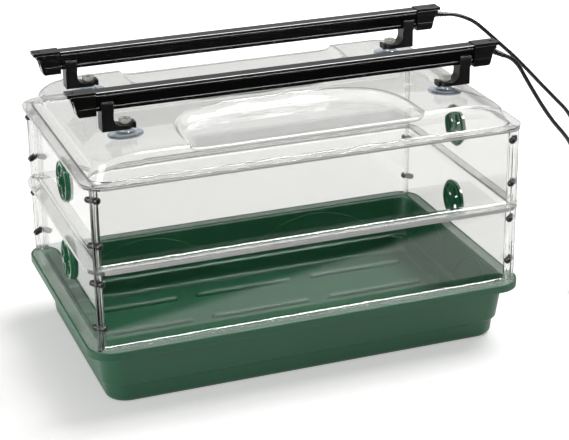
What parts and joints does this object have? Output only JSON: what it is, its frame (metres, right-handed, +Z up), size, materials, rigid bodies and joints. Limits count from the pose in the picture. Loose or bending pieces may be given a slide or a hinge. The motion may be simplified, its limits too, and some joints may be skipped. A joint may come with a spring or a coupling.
{
  "type": "seed propagator with grow light",
  "caption": "Green growing tray under stacked clear walls with turning vents and a scooped clear lid, carrying slim black grow lamps on suction-cup brackets with coiled leads.",
  "frame": {"origin": "on the resting surface, under the centre of the tray", "axes": "+X along the tray's long side, towards the end where the leads leave the lamps; +Y from the front of the picture to the rear; +Z up"},
  "size_m": [0.905, 0.4, 0.405],
  "materials": {
    "tray": "satin",
    "vent": "gloss",
    "clear_wall": "clear gloss",
    "rivet": "gloss",
    "lamp_housing": "anodised satin",
    "lamp_board": "matt",
    "diffuser": "frosted",
    "lamp_cap": "satin",
    "link_socket": "satin",
    "bracket": "satin",
    "suction_cup": "clear gloss",
    "thumb_nut": "clear gloss",
    "lead": "satin",
    "lead_tie": "satin",
    "lead_plug": "satin"
  },
  "bodies": {
    "tray": {"tray": "tray"},
    "lower_tier": {"lower_front_panel": "clear_wall", "lower_rear_panel": "clear_wall", "lower_left_panel": "clear_wall", "lower_right_panel": "clear_wall", "lower_rivets": "rivet", "lower_left_vent_grille": "vent", "lower_left_vent_pin": "vent", "lower_right_vent_grille": "vent", "lower_right_vent_pin": "vent"},
    "lower_left_shutter": {"lower_left_vent_shutter": "vent"},
    "lower_right_shutter": {"lower_right_vent_shutter": "vent"},
    "upper_tier": {"upper_front_panel": "clear_wall", "upper_rear_panel": "clear_wall", "upper_left_panel": "clear_wall", "upper_right_panel": "clear_wall", "upper_rivets": "rivet", "upper_left_vent_grille": "vent", "upper_left_vent_pin": "vent", "upper_right_vent_grille": "vent", "upper_right_vent_pin": "vent"},
    "upper_left_shutter": {"upper_left_vent_shutter": "vent"},
    "upper_right_shutter": {"upper_right_vent_shutter": "vent"},
    "lid": {"lid": "clear_wall"},
    "front_lamp": {"front_lamp_housing": "lamp_housing", "front_lamp_board": "lamp_board", "front_lamp_diffuser": "diffuser", "front_lamp_left_cap": "lamp_cap", "front_lamp_right_cap": "lamp_cap", "front_lamp_link_socket": "link_socket", "front_lamp_left_bracket": "bracket", "front_lamp_right_bracket": "bracket", "front_lamp_left_cup": "suction_cup", "front_lamp_right_cup": "suction_cup", "front_lead_sleeve": "lead", "front_lead": "lead", "front_lead_coil": "lead", "front_lead_tie": "lead_tie", "front_lead_plug": "lead_plug"},
    "front_left_nut": {"front_lamp_left_nut": "thumb_nut"},
    "front_right_nut": {"front_lamp_right_nut": "thumb_nut"},
    "rear_lamp": {"rear_lamp_housing": "lamp_housing", "rear_lamp_board": "lamp_board", "rear_lamp_diffuser": "diffuser", "rear_lamp_left_cap": "lamp_cap", "rear_lamp_right_cap": "lamp_cap", "rear_lamp_link_socket": "link_socket", "rear_lamp_left_bracket": "bracket", "rear_lamp_right_bracket": "bracket", "rear_lamp_left_cup": "suction_cup", "rear_lamp_right_cup": "suction_cup", "rear_lead_sleeve": "lead", "rear_lead": "lead", "rear_lead_coil": "lead", "rear_lead_tie": "lead_tie", "rear_lead_plug": "lead_plug"},
    "rear_left_nut": {"rear_lamp_left_nut": "thumb_nut"},
    "rear_right_nut": {"rear_lamp_right_nut": "thumb_nut"}
  },
  "joints": [
    {"name": "lower_tier_lift", "type": "slide", "parent": "tray", "child": "lower_tier", "axis": [0, 0, 1], "range_m": [0, 0.15]},
    {"name": "upper_tier_lift", "type": "slide", "parent": "lower_tier", "child": "upper_tier", "axis": [0, 0, 1], "range_m": [0, 0.15]},
    {"name": "lid_lift", "type": "slide", "parent": "upper_tier", "child": "lid", "axis": [0, 0, 1], "range_m": [0, 0.15]},
    {"name": "front_lamp_lift", "type": "slide", "parent": "lid", "child": "front_lamp", "axis": [0, 0, 1], "range_m": [0, 0.06]},
    {"name": "rear_lamp_lift", "type": "slide", "parent": "lid", "child": "rear_lamp", "axis": [0, 0, 1], "range_m": [0, 0.06]},
    {"name": "lower_left_vent_turn", "type": "hinge", "parent": "lower_tier", "child": "lower_left_shutter", "pos_m": [-0.2825, 0, 0.143], "axis": [-1, 0, 0], "range_deg": [-15, 45]},
    {"name": "lower_right_vent_turn", "type": "hinge", "parent": "lower_tier", "child": "lower_right_shutter", "pos_m": [0.2825, 0, 0.143], "axis": [1, 0, 0], "range_deg": [-30, 30]},
    {"name": "upper_left_vent_turn", "type": "hinge", "parent": "upper_tier", "child": "upper_left_shutter", "pos_m": [-0.2825, 0, 0.255], "axis": [-1, 0, 0], "range_deg": [-60, 0]},
    {"name": "upper_right_vent_turn", "type": "hinge", "parent": "upper_tier", "child": "upper_right_shutter", "pos_m": [0.2825, 0, 0.255], "axis": [1, 0, 0], "range_deg": [-30, 30]},
    {"name": "front_left_nut_turn", "type": "hinge", "parent": "front_lamp", "child": "front_left_nut", "pos_m": [-0.221, -0.092, 0.357], "axis": [0, 0, 1], "continuous": true},
    {"name": "front_right_nut_turn", "type": "hinge", "parent": "front_lamp", "child": "front_right_nut", "pos_m": [0.221, -0.092, 0.357], "axis": [0, 0, 1], "continuous": true},
    {"name": "rear_left_nut_turn", "type": "hinge", "parent": "rear_lamp", "child": "rear_left_nut", "pos_m": [-0.221, 0.092, 0.357], "axis": [0, 0, 1], "continuous": true},
    {"name": "rear_right_nut_turn", "type": "hinge", "parent": "rear_lamp", "child": "rear_right_nut", "pos_m": [0.221, 0.092, 0.357], "axis": [0, 0, 1], "continuous": true}
  ]
}
